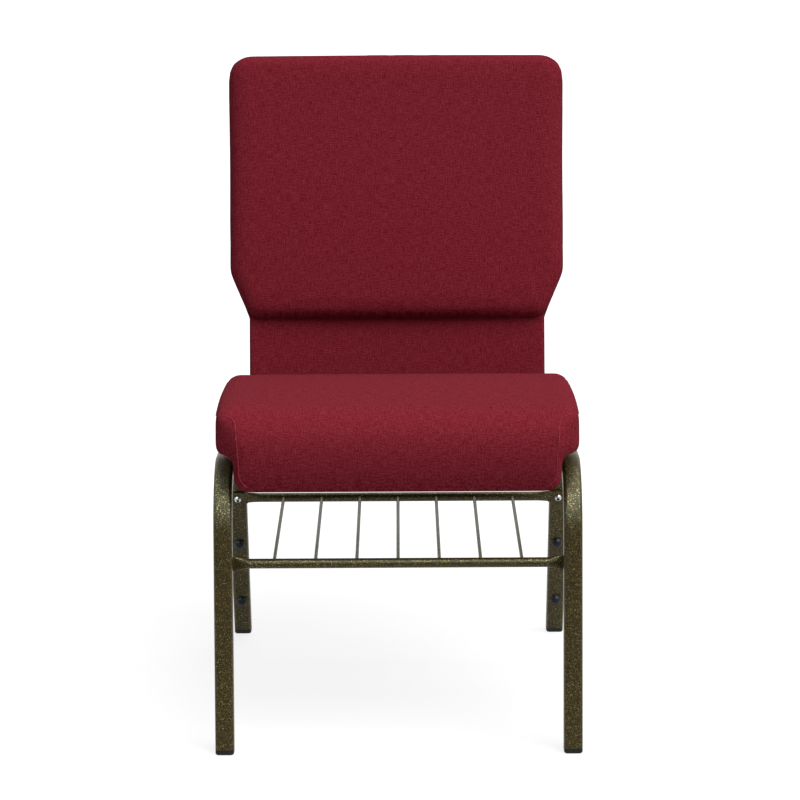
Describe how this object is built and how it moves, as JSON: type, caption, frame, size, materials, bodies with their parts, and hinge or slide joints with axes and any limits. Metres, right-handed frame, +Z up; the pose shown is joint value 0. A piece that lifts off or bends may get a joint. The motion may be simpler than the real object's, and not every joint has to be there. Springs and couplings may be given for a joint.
{
  "type": "guest chair",
  "caption": "Stacking guest chair with a burgundy upholstered seat and back, a square-tube steel frame in gold-vein paint and a wire book rack under the seat",
  "frame": {"origin": "On the floor, midway between the four feet", "axes": "+Z up, the front of the chair faces -Y, +X is to the right of a viewer who faces the front"},
  "size_m": [0.47, 0.5962, 0.8385],
  "materials": {
    "vein_paint": "dark brown powder coat with a fine gold hammered vein",
    "black_plastic": "moulded black plastic",
    "zinc_steel": "bright zinc plate",
    "plywood": "raw plywood",
    "hardboard": "raw hardboard",
    "foam": "cut polyurethane foam",
    "upholstery": "burgundy plain-weave fabric with a fine melange of dark and light yarns",
    "dust_cover": "black non-woven cloth"
  },
  "bodies": {
    "root": {"side_frame_left": "vein_paint", "side_frame_right": "vein_paint", "front_cross_tube": "vein_paint", "rear_cross_tube": "vein_paint", "back_cross_tube": "vein_paint", "back_hoop": "vein_paint", "rack_front_bar": "vein_paint", "rack_rear_bar": "vein_paint", "rack_wire_1": "vein_paint", "rack_wire_2": "vein_paint", "rack_wire_3": "vein_paint", "rack_wire_4": "vein_paint", "rack_wire_5": "vein_paint", "rack_wire_6": "vein_paint", "rack_wire_7": "vein_paint", "front_glide_left": "black_plastic", "front_glide_right": "black_plastic", "rear_glide_left": "black_plastic", "rear_glide_right": "black_plastic", "lower_bumper_left": "black_plastic", "lower_bumper_right": "black_plastic", "upper_bumper_left": "black_plastic", "upper_bumper_right": "black_plastic", "seat_spacers": "black_plastic", "rack_screws": "zinc_steel", "rack_rivet_nuts": "zinc_steel", "seat_bolts": "zinc_steel", "seat_tee_nuts": "zinc_steel", "back_board_screws": "zinc_steel", "seat_board": "plywood", "back_board": "plywood", "rear_panel_board": "hardboard", "seat_foam": "foam", "seat_lip_foam": "foam", "back_foam": "foam", "back_filler": "foam", "lower_back_pad": "foam", "seat_cover": "upholstery", "back_cover": "upholstery", "lower_back_cover": "upholstery", "rear_panel_cover": "upholstery", "seat_dust_cover": "dust_cover"}
  },
  "joints": []
}
